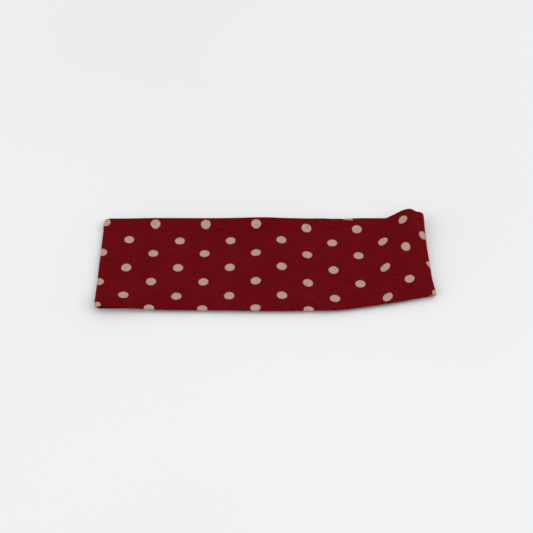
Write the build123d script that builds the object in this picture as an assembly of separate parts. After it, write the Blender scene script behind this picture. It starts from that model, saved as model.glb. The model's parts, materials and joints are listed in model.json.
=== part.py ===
"""Soft jersey headband, lying flat with its front half on top of its back half.

One strip of jersey is folded lengthwise and sewn along its raw edges into a long flat tube. The tube's ends
are sewn together, which makes the loop that goes round the head. Flat, the loop turns back on itself at a
left and a right fold, and opening it for the head bends it at those folds and along both halves.

Frame: X runs from the left fold to the right fold, Y from the near edge to the far edge, Z up.
The origin is on the underside, midway between the folds and the edges. The long seam is at the far edge.
"""
from build123d import *
from math import cos, radians, sin
import os

# The sewn band, in millimetres
flat_length = 242.0  # from fold to fold, outside
band_width = 92.5  # from edge to edge
half_shift = 2.0  # the front half lies this far nearer than the centre line, and the back half farther
right_end_draw_in = 13.0  # how far the near edge has moved in at the right fold

# The cloth and how its plies lie in the tube
cloth = 0.45  # one ply of single jersey
ply_gap = 0.07  # air between the tube's wall and the allowance beside it
seam_slit = 0.06  # between the two plies of an allowance, outside their stitches
seam_allowance = 10.0  # raw edge turned in behind each seam
halves_gap = 0.3  # between the front half and the back half

# Stitching
thread = 0.15  # width of the sewing thread
stitch_length = 2.5
seam_inset = 1.0  # from the tube's far edge to the long seam's stitches
cross_seam_gap = 0.4  # between the tube's two ends, for the seam's thread
closing_pitch = 5.0  # of the hand stitches over the gap that the tube was turned through
closing_thread = 0.24  # the hand-sewing thread, which is doubled
closing_bite = 70.0  # degrees of the round far edge that a closing stitch goes over

# How the loop bends as it opens
SEGMENT_NAMES = ["left_end", "left", "middle_left", "middle_right", "right", "right_end"]
draw_in_segments = 2  # the near edge moves in along this many segments, up to the right fold
flex_angle = 30.0  # the most that the band bends at a flex line, which is where two segments meet
flex_gap = 0.2  # kept between two segments at every angle

# Worked out from the sizes above
allowance_height = 2 * cloth + seam_slit
tube_thickness = 2 * cloth + 2 * ply_gap + allowance_height
fold_radius = tube_thickness + halves_gap / 2
fold_x = flat_length / 2 - fold_radius
segment_length = 2 * fold_x / len(SEGMENT_NAMES)
cross_seam_x = fold_x - 1.5 * segment_length  # the middle of the back half's right segment
HALF_Z = {"back": tube_thickness / 2, "front": tube_thickness * 1.5 + halves_gap}
HALF_Y = {"back": half_shift, "front": -half_shift}
INNER_SIDE = {"back": 1, "front": -1}  # the way to the loop's inside, along Z
FOLD_SIDE = {"left": -1, "right": 1}


def spans(half):
    """Name, start and end of each segment. The cross seam parts one of the back half's in two."""
    found = []
    for index, name in enumerate(SEGMENT_NAMES):
        start = -fold_x + index * segment_length
        end = start + segment_length
        if half == "back" and start < cross_seam_x < end:
            found.append(("back_seam_left", start, cross_seam_x))
            found.append(("back_seam_right", cross_seam_x, end))
        else:
            found.append((f"{half}_{name}", start, end))
    return found


def near_y(x, half):
    """The near edge, which moves in towards the right fold."""
    share = (x - fold_x) / (draw_in_segments * segment_length) + 1
    return HALF_Y[half] - band_width / 2 + max(0.0, share) * right_end_draw_in


def far_y(half):
    return HALF_Y[half] + band_width / 2


def strip_between(start, end, height):
    return Pos((start + end) / 2, 0) * Rectangle(end - start, height)


def tube_outline(width, shape):
    """One of the four outlines that make up the tube's section: local X is the width."""
    inner_edge = width / 2 - cloth
    if shape == "skin":
        return SlotOverall(width, tube_thickness)
    if shape == "hollow":
        return SlotOverall(width - 2 * cloth, tube_thickness - 2 * cloth)
    if shape == "allowance":
        return strip_between(inner_edge - seam_allowance, inner_edge + cloth / 2, allowance_height)
    return strip_between(inner_edge - seam_allowance - cloth, width / 2 + cloth, seam_slit)


def tube_section(x, half, shape):
    width = far_y(half) - near_y(x, half)
    centre = (x, far_y(half) - width / 2, HALF_Z[half])
    return Plane(origin=centre, x_dir=(0, 1, 0), z_dir=(1, 0, 0)) * tube_outline(width, shape)


def joined_shapes(shapes):
    """The skin with its hollow, and in it the turned-in allowance with the slit between its plies."""
    return shapes["skin"] - shapes["hollow"] + shapes["allowance"] - shapes["slit"]


def sewn_tube(start, end, half):
    shapes = {}
    for shape in ("skin", "hollow", "allowance", "slit"):
        first = tube_section(start, half, shape)
        if abs(near_y(start, half) - near_y(end, half)) < flex_gap:
            shapes[shape] = extrude(first, amount=end - start)
        else:
            shapes[shape] = loft([first, tube_section(end, half, shape)], ruled=True)
    return joined_shapes(shapes)


def beyond_line(x, half, towards, gap, angle):
    """What a segment gives up at a line across the band, for a gap and for bending to the loop's inside."""
    outer_back = gap / 2
    inner_back = (gap / 2 + tube_thickness / 2 * sin(radians(angle / 2))) / cos(radians(angle / 2))
    lean = (inner_back - outer_back) / tube_thickness
    middle_back = (inner_back + outer_back) / 2
    reach = 2 * tube_thickness  # past the tube on both sides
    outer_z = HALF_Z[half] - INNER_SIDE[half] * reach
    inner_z = HALF_Z[half] + INNER_SIDE[half] * reach
    outline = Polyline(
        (x - towards * (middle_back - lean * reach), outer_z),
        (x - towards * (middle_back + lean * reach), inner_z),
        (x + towards * segment_length, inner_z),
        (x + towards * segment_length, outer_z),
        close=True,
    )
    return extrude(Plane.XZ * make_face(outline), amount=band_width, both=True)


def fold_space(side):
    """Round space about a fold's axis, which the front segment stays out of as it swings up."""
    centre = Plane(origin=(side * fold_x, 0, fold_radius), z_dir=(0, 1, 0))
    return extrude(centre * Circle(fold_radius + flex_gap), amount=band_width, both=True)


def clear_end(piece, x, half, towards):
    """Clears one end of a segment for what is beside it."""
    if half == "back" and x == cross_seam_x:
        return piece - beyond_line(x, half, towards, cross_seam_gap, 0)
    if abs(x) < fold_x - flex_gap:
        return piece - beyond_line(x, half, towards, flex_gap, flex_angle)
    if half == "front":
        return piece - fold_space(towards)
    return piece


def segment_cloth(half, start, end):
    piece = sewn_tube(start, end, half)
    piece = clear_end(piece, start, half, -1)
    return clear_end(piece, end, half, 1)


def turned_round_fold(section, side):
    """The back half's section, carried half way round a fold's axis to the front half's level."""
    axis = Axis((side * fold_x, 0, fold_radius), (0, -side, 0))
    return revolve(section, axis=axis, revolution_arc=180)


def fold_cloth(side):
    shapes = {}
    for shape in ("skin", "hollow", "allowance", "slit"):
        shapes[shape] = tube_section(side * fold_x, "back", shape)
    return turned_round_fold(joined_shapes(shapes), side)


def fold_thread(side):
    centre = (side * fold_x, far_y("back") - seam_inset, HALF_Z["back"])
    section = Plane(origin=centre, x_dir=(0, 1, 0), z_dir=(1, 0, 0)) * Rectangle(thread, thread)
    return turned_round_fold(section, side)


def running_stitches(length, height):
    """A thread along local X that lies over the plies and under them in turn, a stitch at a time."""
    count = int(length / stitch_length)
    pieces = []
    for number in range(count):
        middle = (number - (count - 1) / 2) * stitch_length
        level = height / 2 if number % 2 else -height / 2
        pieces.append(Pos(middle, level) * Rectangle(stitch_length + thread, thread))
        if number > 0:
            pieces.append(Pos(middle - stitch_length / 2, 0) * Rectangle(thread, height))
    return extrude(Sketch() + pieces, amount=thread / 2, both=True)


def long_seam(half, start, end):
    """The long seam's stitches in one segment. They stop a stitch short of both its ends."""
    place = ((start + end) / 2, far_y(half) - seam_inset, HALF_Z[half])
    stitches = running_stitches(end - start - 2 * stitch_length, allowance_height)
    return Plane(origin=place, x_dir=(1, 0, 0), z_dir=(0, -1, 0)) * stitches


def closing_stitches(half, start, end):
    """Hand stitches over the far edge. They close the gap that the tube was turned through."""
    round_y = far_y(half) - tube_thickness / 2
    low_side = radians(-closing_bite / 2)
    count = int((end - start) / closing_pitch) - 1
    stitches = []
    for number in range(count):
        x = (start + end) / 2 + (number - (count - 1) / 2) * closing_pitch
        first = (0, cos(low_side), sin(low_side))
        place = Plane(origin=(x, round_y, HALF_Z[half]), x_dir=first, z_dir=(1, 0, 0))
        stitches.append(place * Torus(tube_thickness / 2, closing_thread / 2, major_angle=closing_bite))
    return Compound(children=stitches)


def cross_seam_thread():
    """Stitches between the tube's two ends, across the back half."""
    near, far = near_y(cross_seam_x, "back"), far_y("back")
    place = (cross_seam_x, (near + far) / 2, HALF_Z["back"])
    stitches = running_stitches(far - near - 2 * seam_inset, thread)
    return Plane(origin=place, x_dir=(0, 1, 0), z_dir=(1, 0, 0)) * stitches


def cross_seam_allowance(side):
    """The tube's two walls, turned in on one side of the cross seam, up to the long seam's allowance."""
    start = cross_seam_x + side * tube_thickness / 2
    end = start + side * seam_allowance
    near = max(near_y(start, "back"), near_y(end, "back")) + tube_thickness / 2
    far = far_y("back") - cloth - seam_allowance - tube_thickness / 2
    ply = Box(seam_allowance, far - near, cloth)
    plies = []
    for level in (-1, 1):
        centre_z = HALF_Z["back"] + level * (cloth + seam_slit) / 2
        plies.append(Pos((start + end) / 2, (near + far) / 2, centre_z) * ply)
    return Compound(children=plies)


def headband():
    nodes = {}
    for half in ("back", "front"):
        for name, start, end in spans(half):
            nodes[f"{name}_cloth"] = segment_cloth(half, start, end)
            if name == "back_middle_right":
                nodes["closing_stitches"] = closing_stitches(half, start, end)
            else:
                nodes[f"{name}_long_seam"] = long_seam(half, start, end)
    for name, side in FOLD_SIDE.items():
        nodes[f"{name}_fold_cloth"] = fold_cloth(side)
        nodes[f"{name}_fold_long_seam"] = fold_thread(side)
        nodes[f"cross_seam_allowance_{name}"] = cross_seam_allowance(side)
    nodes["cross_seam_thread"] = cross_seam_thread()
    return nodes


os.makedirs("parts", exist_ok=True)
for node, shape in headband().items():
    export_step(shape, f"parts/{node}.step")
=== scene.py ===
"""A jersey headband, folded flat, with its front half lying on its back half.

The whole loop is one flattened tube. Its surface is worked out from the sizes in the sidebar, and is then
parted into twelve pieces of cloth. Each piece crosses one bend line of the loop.
Lengths here are in millimetres until a mesh is made. X runs from the left fold to the right fold, Y from
the near edge to the far edge, and Z up.
"""
import json
import math

import bpy
import numpy as np
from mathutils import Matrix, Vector

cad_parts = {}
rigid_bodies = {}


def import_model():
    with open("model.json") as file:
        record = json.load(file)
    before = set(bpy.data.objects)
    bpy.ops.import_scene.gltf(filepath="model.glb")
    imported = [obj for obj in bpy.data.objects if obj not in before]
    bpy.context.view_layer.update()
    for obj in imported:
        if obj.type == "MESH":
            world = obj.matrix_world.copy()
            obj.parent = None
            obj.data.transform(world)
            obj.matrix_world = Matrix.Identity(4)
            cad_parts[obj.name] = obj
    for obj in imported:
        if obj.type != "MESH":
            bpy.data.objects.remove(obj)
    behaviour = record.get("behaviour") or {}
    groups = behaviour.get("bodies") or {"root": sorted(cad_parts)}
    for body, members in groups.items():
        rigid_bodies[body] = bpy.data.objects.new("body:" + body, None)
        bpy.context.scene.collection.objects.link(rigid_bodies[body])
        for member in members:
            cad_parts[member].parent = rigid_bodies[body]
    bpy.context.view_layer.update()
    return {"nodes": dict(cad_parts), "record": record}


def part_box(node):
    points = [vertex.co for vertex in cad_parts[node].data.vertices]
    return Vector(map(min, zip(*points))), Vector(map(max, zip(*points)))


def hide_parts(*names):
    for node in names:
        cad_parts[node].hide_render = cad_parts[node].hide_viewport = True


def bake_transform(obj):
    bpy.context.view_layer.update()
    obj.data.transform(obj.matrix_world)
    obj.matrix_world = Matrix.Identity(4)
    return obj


bl_info = {
    "name": "Jersey Headband",
    "version": (1, 0, 0),
    "blender": (4, 5, 0),
    "location": "3D View > Sidebar > Headband",
    "description": "Makes a dotted jersey headband, folded flat, and the table it lies on",
    "category": "Object",
}

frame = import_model()
MM = 0.001
MAP_START = 0.4  # of the cloth's map, so that no place on it is negative


def joint_named(name):
    for joint in frame["record"]["behaviour"]["joints"]:
        if joint["name"] == name:
            return joint
    raise ValueError(f"the headband has no joint named {name}")


def joint_place(name):
    """Where a joint's axis stands, in millimetres."""
    return [value / MM for value in joint_named(name)["pos_m"]]


def node_box(name):
    low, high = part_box(name)
    return [value / MM for value in low], [value / MM for value in high]


# From the sewn band
fold_x, _, fold_z = joint_place("right_fold")
fold_travel = math.radians(joint_named("right_fold")["range_deg"][1])
segment = joint_place("front_right_bend")[0]
back_low, back_high = node_box("back_left_cloth")
front_low, front_high = node_box("front_left_cloth")
front_level = (front_low[2] + front_high[2]) / 2
last_cut = 2.5 * segment  # where the fold's piece of cloth begins
cross_seam_x = 1.5 * segment
SEAM_GAP = 0.08  # between the tube's two ends at the cross seam
SETTLED_RISE = 1.9  # of the front half's cloth above a fold's axis, where it lies flat

THREAD_SIDES = 6
THREAD_RADIUS = 0.09
THREAD_STEP = 0.6  # between two points of a thread's path

# Each piece of cloth: the two bodies it joins, its place along the half, and the CAD cloth and seams that
# it and its stitches stand for
BACK_PIECES = {
    "back_left_end_sleeve": (
        ("back_left_end", "back_left"),
        -2,
        ["back_left_end_cloth"],
        ["back_left_end_long_seam"],
    ),
    "back_left_sleeve": (
        ("back_left", "back_middle_left"),
        -1,
        ["back_left_cloth"],
        ["back_left_long_seam"],
    ),
    "back_middle_sleeve": (
        ("back_middle_left", "back_middle_right"),
        0,
        ["back_middle_left_cloth"],
        ["back_middle_left_long_seam"],
    ),
    "back_right_sleeve": (
        ("back_middle_right", "back_seam_left"),
        1,
        ["back_middle_right_cloth", "back_seam_left_cloth", "cross_seam_allowance_left"],
        ["back_seam_left_long_seam"],
    ),
    "back_right_end_sleeve": (
        ("back_seam_right", "back_right_end"),
        2,
        ["back_seam_right_cloth", "back_right_end_cloth", "cross_seam_allowance_right"],
        ["back_seam_right_long_seam", "back_right_end_long_seam"],
    ),
}
FRONT_PIECES = {
    "front_left_end_sleeve": (
        ("front_left_end", "front_left"),
        -2,
        ["front_left_end_cloth"],
        ["front_left_end_long_seam"],
    ),
    "front_left_sleeve": (
        ("front_left", "front_middle_left"),
        -1,
        ["front_left_cloth"],
        ["front_left_long_seam"],
    ),
    "front_middle_sleeve": (
        ("front_middle_left", "front_middle_right"),
        0,
        ["front_middle_left_cloth"],
        ["front_middle_left_long_seam"],
    ),
    "front_right_sleeve": (
        ("front_middle_right", "front_right"),
        1,
        ["front_middle_right_cloth"],
        ["front_middle_right_long_seam"],
    ),
    "front_right_end_sleeve": (
        ("front_right", "front_right_end"),
        2,
        ["front_right_cloth"],
        ["front_right_long_seam"],
    ),
}
FOLD_PIECES = {
    "left_fold_sleeve": (
        ("back_left_end", "front_left_end"),
        -1,
        ["left_fold_cloth"],
        ["left_fold_long_seam"],
    ),
    "right_fold_sleeve": (
        ("front_right_end", "back_right_end"),
        1,
        ["right_fold_cloth", "front_right_end_cloth"],
        ["right_fold_long_seam", "front_right_end_long_seam"],
    ),
}


class ClothSizes(bpy.types.PropertyGroup):
    """How thick the folded cloth is and how it lies."""

    wall: bpy.props.FloatProperty(
        name="Wall", description="Thickness of one ply of jersey", default=0.45 * MM, unit="LENGTH"
    )
    body_rise: bpy.props.FloatProperty(
        name="Tube", description="Half the flat tube's thickness", default=0.82 * MM, unit="LENGTH"
    )
    seam_rise: bpy.props.FloatProperty(
        name="Tube at seams", description="Half the tube's thickness over a seam allowance",
        default=1.0 * MM, unit="LENGTH",
    )
    allowance: bpy.props.FloatProperty(
        name="Allowance",
        description="Width of the turned-in allowance at a seam",
        default=10 * MM,
        unit="LENGTH",
    )
    rim_lift: bpy.props.FloatProperty(
        name="Rim",
        description="How far the front half's far rim stands up",
        default=2.0 * MM,
        unit="LENGTH",
    )
    corner_lift: bpy.props.FloatProperty(
        name="Corner",
        description="How far the near left corner stands off",
        default=3.7 * MM,
        unit="LENGTH",
    )
    ridge: bpy.props.FloatProperty(
        name="Ridge",
        description="Height of the buckled ridge at the right end",
        default=8.0 * MM,
        unit="LENGTH",
    )
    draw_in: bpy.props.FloatProperty(
        name="Draw-in",
        description="How far the near edge moves in at the right end",
        default=14 * MM,
        unit="LENGTH",
    )


class PrintSizes(bpy.types.PropertyGroup):
    """The printed dots and the colours."""

    dot: bpy.props.FloatProperty(
        name="Dot",
        description="Diameter of a dot",
        default=7.2 * MM,
        unit="LENGTH",
    )
    pitch: bpy.props.FloatProperty(
        name="Pitch", description="From dot to dot along a row", default=37.7 * MM, unit="LENGTH"
    )
    row: bpy.props.FloatProperty(
        name="Rows",
        description="From row to row",
        default=14.3 * MM,
        unit="LENGTH",
    )
    start_along: bpy.props.FloatProperty(
        name="Start along",
        description="From the front's middle to a dot",
        default=12.35 * MM,
        unit="LENGTH",
    )
    start_across: bpy.props.FloatProperty(
        name="Start across", description="From the long seam to that dot", default=23.0 * MM, unit="LENGTH"
    )
    ground: bpy.props.FloatVectorProperty(
        name="Ground",
        description="Colour of the jersey",
        default=(0.118, 0.0017, 0.0038),
        subtype="COLOR",
        size=3,
    )
    ink: bpy.props.FloatVectorProperty(
        name="Dots",
        description="Colour of the printed dots",
        default=(0.52, 0.345, 0.265),
        subtype="COLOR",
        size=3,
    )
    sewing: bpy.props.FloatVectorProperty(
        name="Thread",
        description="Colour of the sewing thread",
        default=(0.10, 0.004, 0.006),
        subtype="COLOR",
        size=3,
    )


class StageSizes(bpy.types.PropertyGroup):
    """The table, the light and the camera."""

    distance: bpy.props.FloatProperty(
        name="Distance", description="From the camera to the band", default=1.015, unit="LENGTH"
    )
    elevation: bpy.props.FloatProperty(
        name="Elevation",
        description="Camera's angle above the table",
        default=math.radians(45),
        subtype="ANGLE",
    )
    lens: bpy.props.FloatProperty(name="Lens", description="Focal length", default=93.5, unit="CAMERA")
    aim_x: bpy.props.FloatProperty(
        name="Aim X",
        description="Where the camera looks",
        default=1.3 * MM,
        unit="LENGTH",
    )
    aim_y: bpy.props.FloatProperty(
        name="Aim Y",
        description="Where the camera looks",
        default=-1.5 * MM,
        unit="LENGTH",
    )
    key: bpy.props.FloatProperty(
        name="Key",
        description="Power of the main light",
        default=19.0,
        unit="POWER",
    )
    fill: bpy.props.FloatProperty(
        name="Fill",
        description="Power of the fill light",
        default=15.0,
        unit="POWER",
    )
    sky: bpy.props.FloatProperty(
        name="Sky",
        description="Strength of the light from all round",
        default=0.73,
    )


# --- Shader nodes ---------------------------------------------------------------------------------


class Wire:
    """One output socket, with arithmetic that adds Math nodes."""

    def __init__(self, shader, socket):
        self.shader = shader
        self.socket = socket

    def maths(self, operation, first, second=0.5, third=0.5):
        return self.shader.add("ShaderNodeMath", {"operation": operation}, {0: first, 1: second, 2: third})

    def __add__(self, other):
        return self.maths("ADD", self, other)

    def __radd__(self, other):
        return self.maths("ADD", other, self)

    def __sub__(self, other):
        return self.maths("SUBTRACT", self, other)

    def __rsub__(self, other):
        return self.maths("SUBTRACT", other, self)

    def __mul__(self, other):
        return self.maths("MULTIPLY", self, other)

    def __rmul__(self, other):
        return self.maths("MULTIPLY", other, self)

    def __mod__(self, other):
        return self.maths("FLOORED_MODULO", self, other)

    def sine(self):
        return self.maths("SINE", self)

    def root(self):
        return self.maths("SQRT", self)

    def least(self, other):
        return self.maths("MINIMUM", self, other)

    def step(self, start, end):
        """0 before start and 1 after end, with a soft change between them."""
        return self.shader.add(
            "ShaderNodeMapRange",
            {"interpolation_type": "SMOOTHSTEP"},
            {"Value": self, "From Min": start, "From Max": end},
        )


class Shader:
    """A material's nodes, all added by one method."""

    def __init__(self, name):
        self.material = bpy.data.materials.new(name)
        self.material.use_nodes = True
        self.tree = self.material.node_tree
        self.tree.nodes.clear()

    def add(self, kind, settings=None, values=None, output=0):
        node = self.tree.nodes.new(kind)
        for name, value in (settings or {}).items():
            setattr(node, name, value)
        for name, value in (values or {}).items():
            if isinstance(value, Wire):
                self.tree.links.new(value.socket, node.inputs[name])
            else:
                node.inputs[name].default_value = value
        return Wire(self, node.outputs[output]) if len(node.outputs) else None

    def mixed(self, share, first, second):
        """The second colour over the first, by share."""
        node = self.tree.nodes.new("ShaderNodeMix")
        node.data_type = "RGBA"
        for index, value in ((0, share), (6, first), (7, second)):
            if isinstance(value, Wire):
                self.tree.links.new(value.socket, node.inputs[index])
            else:
                node.inputs[index].default_value = value
        return Wire(self, node.outputs[2])

    def split(self, vector):
        """A vector's three numbers."""
        node = self.add("ShaderNodeSeparateXYZ", None, {"Vector": vector}).socket.node
        return [Wire(self, socket) for socket in node.outputs]

    def finish(self, surface):
        self.add("ShaderNodeOutputMaterial", None, {"Surface": surface})
        return self.material


def rgba(colour):
    return (*colour, 1.0)


def cloth_material(sizes):
    """Jersey with fine streaks along the band, a faint knit and printed dots with soft edges."""
    if "dotted_jersey" in bpy.data.materials:
        return bpy.data.materials["dotted_jersey"]
    shader = Shader("dotted_jersey")
    lie = shader.add("ShaderNodeUVMap", {"uv_map": "lie"})
    along, across, _ = shader.split(lie)

    def noise(scale, stretch, detail=2.0):
        scales = (scale, scale * stretch, 1.0)
        place = shader.add("ShaderNodeMapping", None, {"Vector": lie, "Scale": scales})
        values = {"Vector": place, "Scale": 1.0, "Detail": detail}
        return shader.add("ShaderNodeTexNoise", {"noise_dimensions": "2D"}, values)

    streaks = noise(110, 14)
    fibres = noise(420, 3.2)
    clouds = noise(26, 1.6, 1.0)
    wobble = noise(700, 1.0, 1.0)

    def nearest_dot(shift):
        """How far the cloth here is from the nearest dot of one of the two interleaved sets."""
        pitch, rows = sizes.pitch, 2 * sizes.row
        first = (along - (MAP_START + sizes.start_along + (shift - 0.5) * pitch)) % pitch - pitch / 2
        second = (across - (MAP_START + sizes.start_across + (shift - 0.5) * rows)) % rows - rows / 2
        return (first * first + second * second).root()

    distance = nearest_dot(0.0).least(nearest_dot(0.5)) + (wobble - 0.5) * (0.5 * MM)
    dots = 1 - distance.step(sizes.dot / 2 - 0.32 * MM, sizes.dot / 2 + 0.32 * MM)
    dark = shader.mixed(1.0, rgba(sizes.ground), rgba([value * 0.84 for value in sizes.ground]))
    light = rgba([value * 1.16 + 0.0015 for value in sizes.ground])
    ground = shader.mixed(streaks.step(0.28, 0.72), dark, light)
    shaded = rgba([value * 0.82 for value in sizes.ground])
    ground = shader.mixed(clouds.step(0.3, 0.7) * 0.3, ground, shaded)
    worn_ink = rgba([value * 0.74 for value in sizes.ink])
    ink = shader.mixed(fibres.step(0.62, 0.34) * 0.8, rgba(sizes.ink), worn_ink)
    ink = shader.mixed(streaks.step(0.62, 0.3) * 0.45, ink, worn_ink)
    flecks = noise(900, 1.3, 1.0)
    bright = rgba([value * 1.6 + 0.003 for value in sizes.ground])
    ground = shader.mixed(flecks.step(0.46, 0.76) * 0.6, ground, bright)
    colour = shader.mixed(dots * (0.93 + fibres * 0.1), ground, ink)
    wales = (across * (2 * math.pi / (0.85 * MM))).sine() * 0.5
    courses = (along * (2 * math.pi / (1.1 * MM))).sine() * 0.25
    height = wales + courses + fibres * 0.9 + streaks * 0.9
    bump = shader.add(
        "ShaderNodeBump", None, {"Strength": 0.5, "Distance": 0.10 * MM, "Height": height}
    )
    surface = shader.add(
        "ShaderNodeBsdfPrincipled",
        None,
        {
            "Base Color": colour,
            "Roughness": 0.94 - dots * 0.16,
            "Normal": bump,
            "Specular IOR Level": 0.025,
            "Sheen Weight": 0.4,
            "Sheen Roughness": 0.3,
            "Sheen Tint": (1.0, 0.10, 0.13, 1.0),
        },
    )
    return shader.finish(surface)


def thread_material(sizes):
    """Twisted sewing thread. The twist is a bump, and is also painted into the colour as fine slanting
    light and dark lines, the dark lines being painted shade in the grooves between the plies.
    """
    if "sewing_thread" in bpy.data.materials:
        return bpy.data.materials["sewing_thread"]
    shader = Shader("sewing_thread")
    place = shader.add("ShaderNodeTexCoord", None, None, 3)
    x, y, z = shader.split(place)
    twist = ((x + y + z * 1.7) * (2 * math.pi / (0.3 * MM))).sine() * 0.5 + 0.5
    fluff = shader.add("ShaderNodeTexNoise", None, {"Vector": place, "Scale": 2500.0, "Detail": 2.0})
    # the twist darkens the thread's colour as painted shade in the grooves between the plies; the fluff
    # darkens it at random as the thread's own uneven tone
    dark = rgba([value * 0.55 for value in sizes.sewing])
    colour = shader.mixed(twist * 0.6 + fluff * 0.4, dark, rgba(sizes.sewing))
    height = twist + fluff
    bump = shader.add("ShaderNodeBump", None, {"Strength": 0.6, "Distance": 0.03 * MM, "Height": height})
    surface = shader.add(
        "ShaderNodeBsdfPrincipled",
        None,
        {"Base Color": colour, "Roughness": 0.5 + fluff * 0.2, "Normal": bump, "Specular IOR Level": 0.4},
    )
    return shader.finish(surface)


def table_material():
    """A smooth pale table with a trace of unevenness."""
    shader = Shader("pale_table")
    place = shader.add("ShaderNodeTexCoord", None, None, 3)
    haze = shader.add("ShaderNodeTexNoise", None, {"Vector": place, "Scale": 3.0, "Detail": 1.0})
    colour = shader.mixed(haze.step(0.3, 0.7), (0.86, 0.86, 0.865, 1.0), (0.88, 0.88, 0.88, 1.0))
    surface = shader.add(
        "ShaderNodeBsdfPrincipled",
        None,
        {"Base Color": colour, "Roughness": 0.85, "Specular IOR Level": 0.2},
    )
    return shader.finish(surface)


# --- The loop's surface ---------------------------------------------------------------------------


def eased(value, start, end):
    share = np.clip((value - start) / (end - start), 0.0, 1.0)
    return share * share * (3 - 2 * share)


def swell(value, middle, width):
    return np.exp(-(((value - middle) / width) ** 2))


def soft_line(value, places, levels, spread):
    """Straight lines between a few places, with their corners rounded by spread."""
    total = 0.0
    steps = np.linspace(-1.5, 1.5, 13)
    shares = np.exp(-(steps**2))
    for step, share in zip(steps, shares):
        total = total + share * np.interp(value + step * spread, places, levels)
    return total / shares.sum()


def near_front(x, sizes):
    draw = np.clip((x - 48.0) / 72.0, 0.0, 1.1) ** 1.35 * sizes.draw_in / MM
    return front_low[1] + draw + 0.3 * (1 - eased(x, -105, -55)) - 0.8 * swell(x, 8, 45)


def far_front(x):
    bend = soft_line(x, [42, 58, 84, 93, 107, 125], [0.0, -1.2, -2.3, 1.7, 3.9, 4.0], 2.5)
    waves = -0.5 * swell(x, -52, 22) + 0.6 * swell(x, 0, 14) - 0.6 * swell(x, 38, 14)
    return front_high[1] + bend + waves - 1.2 * (1 - eased(x, -25, 25))


def near_back(x, sizes):
    draw = np.clip((x - 50.0) / 70.0, 0.0, 1.1) ** 1.3 * sizes.draw_in / MM * 0.86
    return back_low[1] + draw


def far_back(x):
    return back_high[1] + 0.7 * eased(x, 50, 75) + 0.4 * swell(x, -95, 30) - 0.4 * swell(x, -50, 20)


def front_height(x, y, sizes):
    """Height of the front half's middle surface."""
    from_far = far_front(x) - y
    from_near = y - near_front(x, sizes)
    flat_part = 1 - eased(x, 76, 92)
    rim_high = sizes.rim_lift / MM * (1 + 0.65 * (1 - eased(x, -25, 25)))
    rim = rim_high * (1 - eased(from_far, 0.5, 12.5)) * (0.55 + 0.45 * eased(x, -121, -80)) * flat_part
    rim = rim * (1 - 0.45 * eased(x, 45, 60))
    crease_deep = 0.5 + 1.2 * eased(x, -70, -35) * (1 - eased(x, 5, 35))
    crease = -crease_deep * swell(from_far, 11.8, 2.3) * flat_part
    ridge_along = 0.55 * swell(y, 2.0, 10.0) * (1 - eased(x, 60, 90))
    valley_along = -0.35 * swell(y, 20.0, 7.0) * (1 - eased(x, 60, 90))
    waves = 0.16 * np.sin(x / 15.0 + 0.8) * np.cos(y / 24.0) + 0.12 * np.sin(x / 8.3 + y / 19.0)
    corner = sizes.corner_lift / MM * (1 - eased(x, -121, -62)) ** 1.3 * swell(from_near, 0.0, 16.0)
    near_roll = -0.3 * swell(from_near, 0.0, 5.0)
    ridge_x = soft_line(y, [-31, -16, -1, 16, 30, 46], [87, 92, 98, 106, 109.5, 108.8], 3.0)
    ridge_high = soft_line(y, [-34, -18, -2, 12, 22, 50], [0.0, 0.1, 0.42, 0.85, 1.0, 0.98], 4.0)
    left_reach = soft_line(y, [-20, 10, 46], [9.0, 10.0, 12.5], 6.0)
    right_reach = soft_line(y, [-20, 10, 30, 46], [10.0, 9.0, 8.0, 6.5], 4.0)
    reach = np.where(x < ridge_x, left_reach, right_reach)
    ridge = sizes.ridge / MM * ridge_high * swell(x, ridge_x, reach)
    hollow = -0.5 * swell(x, ridge_x - 17, 7.0) * eased(y, -5, 15) * (1 - 0.4 * eased(y, 30, 46))
    end_pad = 0.8 * eased(x, 98, 112) * (1 - eased(y, -10, 20))
    end_pad = end_pad + 4.2 * eased(y, 33, 46) * swell(x, 119.0, 4.2)
    height = rim + crease + ridge_along + valley_along + waves + corner + near_roll
    height = height + ridge + hollow + end_pad
    return front_level + 0.35 + np.maximum(height, -0.8)


def right_end_x(y):
    """How far right the fold reaches."""
    return 119.9 + 1.2 * (1 - eased(y, -17, 28)) + 2.0 * (1 - eased(y, -36, -14))


def left_end_x(y):
    return 121.1 - 1.7 * eased(y, 37, 47) - 0.5 * (1 - eased(y, -48, -40))


def cap(start, end, side, count):
    """The half turn at a fold, from one half's edge of cloth to the other's."""
    angles = np.linspace(0, math.pi, count + 2)[1:-1, None]
    middle_x, middle_y, middle_z = [(a + b) / 2 for a, b in zip(start, end)]
    radius = (np.abs(end[2] - start[2]) / 2)[None, :]
    x = middle_x[None, :] + side * radius * np.sin(angles)
    blend = (1 - np.cos(angles)) / 2
    y = start[1][None, :] * (1 - blend) + end[1][None, :] * blend
    z = middle_z[None, :] + (start[2] - middle_z)[None, :] * np.cos(angles)
    return np.stack([x, y, z], axis=2)


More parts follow.
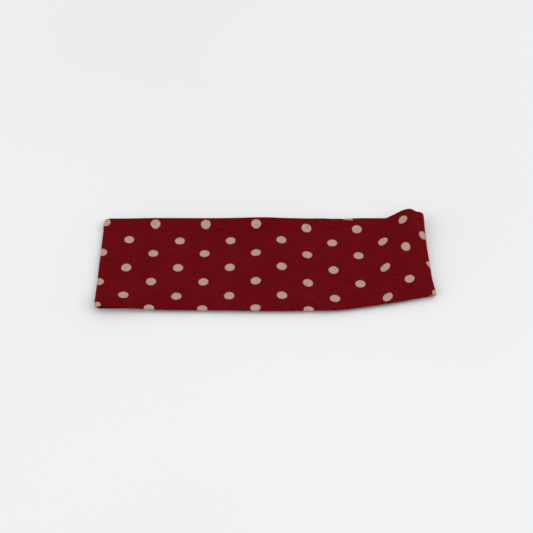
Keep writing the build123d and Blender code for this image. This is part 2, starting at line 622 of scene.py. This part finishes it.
class LoopSurface:
    """The whole band as one grid. Stations go round the loop, each with one closed section of the tube."""

    SEGMENT_STEPS = 34
    END_STEPS = 26
    CAP_STEPS = 14
    CUTS = (-2.5, -1.5, -0.5, 0.5, 1.5, 2.5)  # between two pieces, in segments from the middle

    def __init__(self, sizes):
        self.sizes = sizes
        body_step = 1.25
        edge = np.array([0.0, 0.03, 0.12, 0.28, 0.5, 0.8, 1.2, 1.8])
        width = front_high[1] - front_low[1]
        inner = np.linspace(1.8, width - 1.8, int((width - 3.6) / body_step))
        self.share = np.concatenate([edge, inner[1:-1], (width - edge)[::-1]]) / width
        self.make_middle()
        self.make_section()
        self.make_print_places()

    def half(self, name, x):
        """A half's middle surface over x, where x is one row of places for each share."""
        share = self.share[None, :]
        if name == "back":
            y = near_back(x, self.sizes) + share * (far_back(x) - near_back(x, self.sizes))
            return np.stack([x, y, self.back_rise(x, y) + 0.03], axis=2)
        y = near_front(x, self.sizes) + share * (far_front(x) - near_front(x, self.sizes))
        return np.stack([x, y, front_height(x, y, self.sizes)], axis=2)

    def back_rise(self, x, y):
        """Half the back half's thickness, more over the allowances of its two seams."""
        sizes = self.sizes
        body, seam = sizes.body_rise / MM, sizes.seam_rise / MM
        allowance = sizes.allowance / MM
        along_edge = 1 - eased(far_back(x) - y, allowance - 1, allowance + 1)
        from_seam = np.abs(x - cross_seam_x)
        beside_seam = 1 - eased(from_seam, allowance - 1, allowance + 1)
        groove = 0.3 * swell(from_seam, 0.0, 0.9)
        return body + (seam - body) * np.maximum(along_edge, beside_seam) - groove

    def front_rise(self, x, y):
        sizes = self.sizes
        body, seam = sizes.body_rise / MM, sizes.seam_rise / MM
        allowance = sizes.allowance / MM
        return body + (seam - body) * (1 - eased(far_front(x) - y, allowance - 1, allowance + 1))

    def make_middle(self):
        cuts = np.array(self.CUTS) * segment
        inner = [
            np.linspace(start, end, self.SEGMENT_STEPS, endpoint=False)
            for start, end in zip(cuts[:-1], cuts[1:])
        ]
        inner = np.concatenate([*inner, cuts[-1:]])
        ends = {}
        for side, reach in ((-1, left_end_x), (1, right_end_x)):
            start = np.full_like(self.share, side * fold_x)
            for _ in range(4):
                front = self.half("front", start[None, :])[0]
                back = self.half("back", start[None, :])[0]
                radius = (front[:, 2] - back[:, 2]) / 2
                start = side * (reach(front[:, 1]) - self.sizes.body_rise / MM - radius)
            ends[side] = start
        steps = (np.arange(1, self.END_STEPS + 1) / self.END_STEPS)[:, None]
        left = -last_cut + (ends[-1][None, :] + last_cut) * steps
        right = last_cut + (ends[1][None, :] - last_cut) * steps
        x = np.concatenate([left[::-1], np.repeat(inner[:, None], len(self.share), axis=1), right])
        back, front = self.half("back", x), self.half("front", x)
        right_cap = cap(back[-1].T, front[-1].T, 1, self.CAP_STEPS)
        left_cap = cap(front[0].T, back[0].T, -1, self.CAP_STEPS)
        self.middle = np.concatenate([back, right_cap, front[::-1], left_cap])
        count = len(x)
        rise_back = self.back_rise(back[..., 0], back[..., 1])
        rise_front = self.front_rise(front[..., 0], front[..., 1])
        share = np.linspace(0, 1, self.CAP_STEPS + 2)[1:-1, None]
        rise_right = rise_back[-1] * (1 - share) + rise_front[-1] * share
        rise_left = rise_front[0] * (1 - share) + rise_back[0] * share
        self.rise = np.concatenate([rise_back, rise_right, rise_front[::-1], rise_left])
        self.station = {}
        for index, cut in enumerate(self.CUTS):
            at = self.END_STEPS + index * self.SEGMENT_STEPS
            self.station["back", cut] = at
            self.station["front", cut] = count + self.CAP_STEPS + (count - 1 - at)
        self.front_start = count + self.CAP_STEPS
        self.is_front = np.zeros(len(self.middle))
        self.is_front[self.front_start:self.front_start + count] = 1.0
        # the front's print carries on round the folds and settles on the back half's ends
        self.near_front_half = np.ones(len(self.middle))
        fade = eased(np.arange(self.END_STEPS) / self.END_STEPS, 0.1, 1.0)
        self.near_front_half[:self.END_STEPS] = 1 - fade
        self.near_front_half[self.END_STEPS:count - self.END_STEPS] = 0.0
        self.near_front_half[count - self.END_STEPS:count] = fade
        halfway = self.END_STEPS + int(2.5 * self.SEGMENT_STEPS)
        self.front_middle = count + self.CAP_STEPS + (count - 1 - halfway)

    def make_section(self):
        """The tube's skin: across the outer ply from the far edge, and back across the inner ply."""
        middle = self.middle
        round_loop = np.roll(middle, -1, axis=0) - np.roll(middle, 1, axis=0)
        across = np.gradient(middle, axis=1)
        outward = np.cross(across, round_loop)
        outward /= np.linalg.norm(outward, axis=2, keepdims=True)
        self.outward = outward
        width = np.linalg.norm(np.diff(middle, axis=1), axis=2)
        from_near = np.concatenate([np.zeros((len(middle), 1)), np.cumsum(width, axis=1)], axis=1)
        to_edge = np.minimum(from_near, from_near[:, -1:] - from_near)
        self.from_near = from_near
        rounding = np.clip(1 - to_edge / self.rise, 0.0, 1.0)
        height = self.rise * np.sqrt(1 - rounding**2)
        outer = middle + outward * height[..., None]
        inner = middle - outward * height[..., None]
        self.skin = np.concatenate([outer[:, ::-1], inner[:, 1:-1]], axis=1)
        along = np.roll(self.skin, -1, axis=0) - np.roll(self.skin, 1, axis=0)
        around = np.roll(self.skin, -1, axis=1) - np.roll(self.skin, 1, axis=1)
        normal = np.cross(along, around)
        normal /= np.linalg.norm(normal, axis=2, keepdims=True)
        side = np.sign((normal[:, len(self.share) // 2] * outward[:, len(self.share) // 2]).sum(1).mean())
        self.normal = normal * side
        self.turned = side < 0

    def make_print_places(self):
        """Where each point lies on the flat cloth: along the loop, and across from the long seam.

        Travelled is the length round the loop alone. Along and across also hold small local shifts of the
        print. They are fitted, not worked out from the cloth, so no length of cloth is taken from them.
        """
        skin = self.skin
        step = np.roll(skin, -1, axis=0) - skin
        length = np.sqrt(step[..., 0] ** 2 + step[..., 2] ** 2)
        along = np.concatenate([np.zeros((1, skin.shape[1])), np.cumsum(length, axis=0)])
        along = along - along[self.front_middle][None, :]
        self.round_length = along[-1] - along[0]
        self.travelled = -along
        self.along = self.travelled.copy()
        self.along[:-1] += self.gather()
        step = np.concatenate([skin, skin[:, :1]], axis=1)
        length = np.linalg.norm(np.diff(step, axis=1), axis=2)
        across = np.concatenate([np.zeros((len(skin), 1)), np.cumsum(length, axis=1)], axis=1)
        x = skin[..., 0]
        drift = -2.4 * swell(x, 46.0, 24.0) - 0.7 * swell(x, 86, 14) - 2.2 * eased(x, 92, 105)
        drift = np.concatenate([drift, drift[:, :1]], axis=1)
        from_near = skin[..., 1] - near_front(x, self.sizes)
        flat = across[:, :-1]
        shown = self.near_front_half[:, None]
        drift[:, :-1] += 2.2 * (1 - eased(x, -125, -75)) * (1 - eased(flat, 28, 55)) * shown
        drift[:, :-1] += 2.1 * (1 - eased(flat, 7, 20)) * (1 - eased(x, -20, 45)) * shown
        rolled = 2.3 * (1 - eased(from_near, 0.0, 12.0)) * (1 - eased(x, 40.0, 60.0))
        drift[:, :-1] += rolled * shown
        self.across = across + drift

    def gather(self):
        """The print's local shift along the front half's buckled right end."""
        x, y = self.skin[..., 0], self.skin[..., 1]
        far_part = eased(y, -14, 4) * (1 - 0.5 * eased(y, 34, 46))
        bunched = 2.0 * eased(x, 90, 103) + 2.8 * eased(x, 104, 118) * far_part
        bunched = bunched * self.is_front[:, None]
        end = bunched[self.front_start][None, :]
        seam = self.station["back", 1.5]
        bunched[seam:self.front_start] = end
        return bunched

    def fold_turn(self, side):
        """How far each place turns at a fold: 0 on the back half, 1 on the front, evenly round the bend.

        The front half's raised cloth turns a little less, so that it lies straight once the loop is open.
        """
        x = (self.middle[..., 0] - side * fold_x) * -side
        z = self.middle[..., 2] - fold_z
        settled = np.arctan2(SETTLED_RISE, np.maximum(x, 0.0))
        lift = np.maximum(np.arctan2(z, x) - settled, 0.0) * eased(x, 19.8, 9.0)
        last_front = self.front_start + int(self.is_front.sum()) - 1
        turn = (1 - lift / fold_travel) * self.is_front[:, None]
        share = np.linspace(0, 1, self.CAP_STEPS + 2)[1:-1, None]
        if side > 0:
            turn[self.front_start - self.CAP_STEPS:self.front_start] = share * turn[self.front_start]
        else:
            turn[last_front + 1:] = (1 - share) * turn[last_front]
        return np.concatenate([turn[:, ::-1], turn[:, 1:-1]], axis=1)

    def stations(self, half, index):
        """The first and last station of a piece. A fold's piece goes round the loop's end."""
        if half == "fold" and index > 0:
            return self.station["back", 2.5], self.station["front", 2.5]
        if half == "fold":
            return self.station["front", -2.5], self.station["back", -2.5] + len(self.skin)
        first, last = sorted(self.station[half, cut] for cut in (index - 0.5, index + 0.5))
        return first, last


def new_object(name, points, faces, material):
    mesh = bpy.data.meshes.new(name)
    mesh.from_pydata(points.tolist(), [], faces)
    mesh.update()
    mesh.materials.append(material)
    obj = bpy.data.objects.new(name, mesh)
    bpy.context.scene.collection.objects.link(obj)
    return obj


def grid_faces(rows, columns, turned):
    """Quads between rows of points that each close into a ring."""
    faces = []
    for row in range(rows - 1):
        for column in range(columns):
            after = (column + 1) % columns
            quad = (
                row * columns + column,
                row * columns + after,
                (row + 1) * columns + after,
                (row + 1) * columns + column,
            )
            faces.append(quad[::-1] if turned else quad)
    return faces


def cloth_piece(surface, name, first, last, material, wall):
    """One piece of the sewn tube: its outer skin, the skin's inner side, and the rims between them."""
    picked = np.arange(first, last + 1) % len(surface.skin)
    outer = surface.skin[picked]
    normal = surface.normal[picked]
    seam = surface.station["back", 1.5]
    if first == seam:
        outer[0, :, 0] += SEAM_GAP / 2
    if last == seam:
        outer[-1, :, 0] -= SEAM_GAP / 2
    inner = outer - normal * wall
    rows, columns = outer.shape[:2]
    count = rows * columns
    turned = not surface.turned
    faces = grid_faces(rows, columns, turned)
    faces += [tuple(count + corner for corner in face[::-1]) for face in faces]
    for row in (0, rows - 1):
        for column in range(columns):
            after = (column + 1) % columns
            quad = (
                row * columns + column,
                row * columns + after,
                count + row * columns + after,
                count + row * columns + column,
            )
            faces.append(quad[::-1] if (row == 0) != turned else quad)
    points = np.concatenate([outer.reshape(-1, 3), inner.reshape(-1, 3)]) * MM
    obj = new_object(name, points, faces, material)
    lie = obj.data.uv_layers.new(name="lie")
    at = surface.along[first:last + 1]
    if last <= seam:
        # the strip's other end, so the print breaks at the cross seam
        at = at - surface.round_length[None, :]
    if last >= len(surface.along):
        tail = surface.along[1:last - len(surface.skin) + 1] - surface.round_length[None, :]
        at = np.concatenate([surface.along[first:], tail])
    across = surface.across[picked]
    at = np.concatenate([at, at[:, :1]], axis=1)
    loops = np.zeros((len(obj.data.loops), 2))
    index = 0
    for face in faces:
        ring = [corner % count for corner in face]
        ring_columns = [corner % columns for corner in ring]
        wraps = max(ring_columns) - min(ring_columns) > 1
        for corner in ring:
            row, column = divmod(corner, columns)
            if wraps and column == 0:
                column = columns
            loops[index] = at[row, column], across[row, column]
            index += 1
    lie.data.foreach_set("uv", (loops * MM + MAP_START).ravel().astype(np.float32))
    obj.data.polygons.foreach_set("use_smooth", [True] * len(faces))
    normals = np.concatenate([normal.reshape(-1, 3), -normal.reshape(-1, 3)])
    obj.data.normals_split_custom_set_from_vertices(normals.tolist())
    return obj


def bend_with(obj, bodies, weights=None):
    """Finds the joint between two bodies and bakes the piece's place into its mesh. The piece is not set to
    turn with the joint; a fold's weights are flipped for a front body but not used.
    """
    for joint in frame["record"]["behaviour"]["joints"]:
        if {joint["parent"], joint["child"]} == set(bodies):
            line = joint["pos_m"][0]
    reach = segment * MM / 2
    line - reach
    line + reach
    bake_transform(obj)
    if weights is not None:
        if bodies[0].startswith("front"):
            weights = 1 - weights


def make_sleeves(table, half, props):
    surface = LoopSurface(props)
    material = cloth_material(bpy.context.scene.headband_print)
    for name, (bodies, index, nodes, _) in table.items():
        first, last = surface.stations(half, index)
        obj = cloth_piece(surface, name, first, last, material, props.wall / MM)
        weights = None
        if half == "fold":
            picked = np.arange(first, last + 1) % len(surface.skin)
            weights = np.concatenate([surface.fold_turn(index)[picked]] * 2)
        bend_with(obj, bodies, weights)
        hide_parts(*nodes)
        rounds, last_station = divmod(last, len(surface.skin))
        end = surface.travelled[last_station] - rounds * surface.round_length
        length = np.abs(end - surface.travelled[first]).mean()


# --- Stitches -------------------------------------------------------------------------------------


def thread_path(surface, first, last):
    """The long seam's thread: over the allowance and under it in turn, a stitch at a time.

    Also returns how far along the piece each point is, and the same for the piece's stations.
    """
    stitch, inset, swing = 2.5, 1.2, 0.26
    picked = np.arange(first, last + 1) % len(surface.skin)
    far = surface.from_near[picked][:, -1:]
    gap = np.abs(surface.from_near[picked] - (far - inset))
    column = gap.argmin(axis=1)
    rows = np.arange(len(picked))
    middle = surface.middle[picked][rows, column]
    outward = surface.outward[picked][rows, column]
    run = np.concatenate([[0], np.cumsum(np.linalg.norm(np.diff(middle, axis=0), axis=1))])
    places = np.linspace(THREAD_STEP, run[-1] - THREAD_STEP, int(run[-1] / THREAD_STEP))
    path = np.stack([np.interp(places, run, middle[:, axis]) for axis in range(3)], axis=1)
    lift = np.stack([np.interp(places, run, outward[:, axis]) for axis in range(3)], axis=1)
    side = np.clip(1.7 * np.sin(math.pi * places / stitch), -1, 1) * swing
    return path + lift * side[:, None], places, run, picked


def thread_mesh(name, path, radius, material):
    """A round thread along a path."""
    ways = np.gradient(path, axis=0)
    ways /= np.linalg.norm(ways, axis=1, keepdims=True)
    aside = np.cross(ways, np.array([0.0, 1.0, 0.0]))
    aside /= np.linalg.norm(aside, axis=1, keepdims=True)
    other = np.cross(ways, aside)
    turns = np.arange(THREAD_SIDES) / THREAD_SIDES * 2 * math.pi
    rings = path[:, None] + radius * (
        np.cos(turns)[None, :, None] * aside[:, None] + np.sin(turns)[None, :, None] * other[:, None]
    )
    count = len(path)
    faces = grid_faces(count, THREAD_SIDES, False)
    faces.append(tuple(range(THREAD_SIDES))[::-1])
    faces.append(tuple((count - 1) * THREAD_SIDES + corner for corner in range(THREAD_SIDES)))
    obj = new_object(name, rings.reshape(-1, 3) * MM, faces, material)
    obj.data.polygons.foreach_set("use_smooth", [True] * len(faces))
    return obj


def make_long_seams(props):
    surface = LoopSurface(props)
    material = thread_material(bpy.context.scene.headband_print)
    for half, table in (("back", BACK_PIECES), ("front", FRONT_PIECES), ("fold", FOLD_PIECES)):
        for name, (bodies, index, _, seams) in table.items():
            first, last = surface.stations(half, index)
            path, places, run, picked = thread_path(surface, first, last)
            obj = thread_mesh(name.replace("_sleeve", "_seam_thread"), path, THREAD_RADIUS, material)
            weights = None
            if half == "fold":
                turn = np.interp(places, run, surface.fold_turn(index)[picked, 0])
                weights = np.repeat(turn, THREAD_SIDES)
            bend_with(obj, bodies, weights)
            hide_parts(*seams)


def clear_selection():
    if bpy.context.object and bpy.context.object.mode != "OBJECT":
        bpy.ops.object.mode_set(mode="OBJECT")
    bpy.ops.object.select_all(action="DESELECT")


def model_closing_stitch(x, y, z, radius):
    """One hand stitch: a short arc of thread that hugs the round far edge."""
    thread_radius, bite = 0.13, 0.35
    clear_selection()
    bpy.ops.mesh.primitive_torus_add(
        major_radius=radius * MM,
        minor_radius=thread_radius * MM,
        major_segments=40,
        minor_segments=8,
        location=(x * MM, y * MM, z * MM),
        rotation=(0, math.pi / 2, 0),
    )
    stitch = bpy.context.object
    bpy.ops.object.transform_apply(location=True, rotation=True, scale=True)
    bpy.ops.object.mode_set(mode="EDIT")
    bpy.ops.mesh.select_all(action="SELECT")
    bpy.ops.mesh.bisect(
        plane_co=(x * MM, (y + radius * bite) * MM, z * MM),
        plane_no=(0, 1, 0),
        clear_inner=True,
    )
    bpy.ops.mesh.select_all(action="SELECT")
    bpy.ops.mesh.fill_holes(sides=0)
    bpy.ops.mesh.select_all(action="SELECT")
    bpy.ops.mesh.normals_make_consistent(inside=False)
    bpy.ops.object.mode_set(mode="OBJECT")
    bpy.ops.object.shade_smooth()
    return stitch


def make_closing_stitches(props):
    pitch = 5.0
    count = 6
    slack = 0.03
    rise = props.seam_rise / MM
    material = thread_material(bpy.context.scene.headband_print)
    middle = segment / 2
    places = [middle + (number - (count - 1) / 2) * pitch for number in range(count)]
    round_y = float(far_back(places[0])) - rise
    pattern = model_closing_stitch(places[0], round_y, rise + slack, rise + 0.02)
    pattern.data.materials.append(material)
    for number, x in enumerate(places):
        stitch = pattern
        if number > 0:
            stitch = bpy.data.objects.new("", pattern.data.copy())
            bpy.context.scene.collection.objects.link(stitch)
            move = Vector((x - places[0], float(far_back(x) - far_back(places[0])), 0)) * MM
            for vertex in stitch.data.vertices:
                vertex.co += move
        stitch.name = f"closing_stitch_{number + 1}"
    for number, x in enumerate(places):
        stitch = bpy.data.objects[f"closing_stitch_{number + 1}"]
        if x < middle:
            bodies = ("back_middle_left", "back_middle_right")
        else:
            bodies = ("back_middle_right", "back_seam_left")
        bend_with(stitch, bodies)
        if number == 0:
            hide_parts("closing_stitches")


# --- Stage ----------------------------------------------------------------------------------------


def add_light(name, place, aim, size, power, colour):
    data = bpy.data.lights.new(name, "AREA")
    data.shape = "RECTANGLE"
    data.size, data.size_y = size
    data.energy = power
    data.color = colour
    light = bpy.data.objects.new(name, data)
    bpy.context.scene.collection.objects.link(light)
    light.location = place
    light.rotation_mode = "QUATERNION"
    light.rotation_quaternion = (Vector(aim) - Vector(place)).to_track_quat("-Z", "Y")


def make_stage(sizes):
    clear_selection()
    bpy.ops.mesh.primitive_plane_add(size=6.0, location=(0, 0, 0))
    table = bpy.context.object
    table.name = "table_top"
    table.data.materials.append(table_material())
    world = bpy.data.worlds.new("light_tent")
    world.use_nodes = True
    world.node_tree.nodes["Background"].inputs["Color"].default_value = (1.0, 1.0, 1.0, 1.0)
    world.node_tree.nodes["Background"].inputs["Strength"].default_value = sizes.sky
    bpy.context.scene.world = world
    bpy.context.scene.view_settings.view_transform = "Standard"
    add_light("key_panel", (1.9, -0.3, 1.7), (0, 0, 0), (1.8, 1.8), sizes.key, (1.0, 0.995, 0.99))
    add_light("fill_panel", (-2.0, -0.8, 1.1), (0, 0, 0), (1.4, 1.4), sizes.fill, (0.99, 0.995, 1.0))
    data = bpy.data.cameras.new("camera")
    camera = bpy.data.objects.new("camera", data)
    bpy.context.scene.collection.objects.link(camera)
    aim = Vector((sizes.aim_x, sizes.aim_y, 0))
    back = Vector((0, -math.cos(sizes.elevation), math.sin(sizes.elevation)))
    camera.location = aim + back * sizes.distance
    camera.rotation_mode = "QUATERNION"
    camera.rotation_quaternion = (-back).to_track_quat("-Z", "Y")
    data.lens = sizes.lens
    data.sensor_width = 36
    data.clip_start, data.clip_end = 0.05, 20
    data.dof.use_dof = False
    bpy.context.scene.camera = camera


# --- Operators and panel --------------------------------------------------------------------------


class HEADBAND_OT_back_half(bpy.types.Operator):
    """Makes the back half's pieces of cloth"""

    bl_idname = "headband.back_half"
    bl_label = "Back Half"

    def execute(self, context):
        make_sleeves(BACK_PIECES, "back", context.scene.headband_cloth)
        return {"FINISHED"}


class HEADBAND_OT_front_half(bpy.types.Operator):
    """Makes the front half's pieces of cloth"""

    bl_idname = "headband.front_half"
    bl_label = "Front Half"

    def execute(self, context):
        make_sleeves(FRONT_PIECES, "front", context.scene.headband_cloth)
        return {"FINISHED"}


class HEADBAND_OT_folds(bpy.types.Operator):
    """Makes the cloth that turns round at the two folds"""

    bl_idname = "headband.folds"
    bl_label = "Folds"

    def execute(self, context):
        make_sleeves(FOLD_PIECES, "fold", context.scene.headband_cloth)
        return {"FINISHED"}


class HEADBAND_OT_long_seam(bpy.types.Operator):
    """Makes the machine stitches along the far edge"""

    bl_idname = "headband.long_seam"
    bl_label = "Long Seam"

    def execute(self, context):
        make_long_seams(context.scene.headband_cloth)
        return {"FINISHED"}


class HEADBAND_OT_closing_stitches(bpy.types.Operator):
    """Makes the hand stitches that close the gap the tube was turned through"""

    bl_idname = "headband.closing_stitches"
    bl_label = "Closing Stitches"

    def execute(self, context):
        make_closing_stitches(context.scene.headband_cloth)
        return {"FINISHED"}


class HEADBAND_OT_cross_seam(bpy.types.Operator):
    """Gives the cross seam's thread its finish"""

    bl_idname = "headband.cross_seam"
    bl_label = "Cross Seam"

    def execute(self, context):
        thread = frame["nodes"]["cross_seam_thread"]
        thread.data.materials.clear()
        thread.data.materials.append(thread_material(context.scene.headband_print))
        return {"FINISHED"}


class HEADBAND_OT_stage(bpy.types.Operator):
    """Makes the table, the light and the camera"""

    bl_idname = "headband.stage"
    bl_label = "Stage"

    def execute(self, context):
        make_stage(context.scene.headband_stage)
        return {"FINISHED"}


OPERATORS = (
    HEADBAND_OT_back_half,
    HEADBAND_OT_front_half,
    HEADBAND_OT_folds,
    HEADBAND_OT_long_seam,
    HEADBAND_OT_closing_stitches,
    HEADBAND_OT_cross_seam,
    HEADBAND_OT_stage,
)
GROUPS = {"headband_cloth": ClothSizes, "headband_print": PrintSizes, "headband_stage": StageSizes}


class HEADBAND_PT_sidebar(bpy.types.Panel):
    """Lists the headband's sizes and what can be made"""

    bl_label = "Headband"
    bl_idname = "HEADBAND_PT_sidebar"
    bl_space_type = "VIEW_3D"
    bl_region_type = "UI"
    bl_category = "Headband"

    def draw(self, context):
        for group in GROUPS:
            box = self.layout.box()
            for name in GROUPS[group].__annotations__:
                box.prop(getattr(context.scene, group), name)
        for operator in OPERATORS:
            self.layout.operator(operator.bl_idname)


def register():
    for item in (*GROUPS.values(), *OPERATORS, HEADBAND_PT_sidebar):
        bpy.utils.register_class(item)
    for name, group in GROUPS.items():
        setattr(bpy.types.Scene, name, bpy.props.PointerProperty(type=group))


def unregister():
    for name in GROUPS:
        delattr(bpy.types.Scene, name)
    for item in reversed((*GROUPS.values(), *OPERATORS, HEADBAND_PT_sidebar)):
        bpy.utils.unregister_class(item)


def main():
    register()
    bpy.ops.headband.back_half()
    bpy.ops.headband.front_half()
    bpy.ops.headband.folds()
    bpy.ops.headband.long_seam()
    bpy.ops.headband.closing_stitches()
    bpy.ops.headband.cross_seam()
    bpy.ops.headband.stage()


if __name__ == "__main__":
    main()
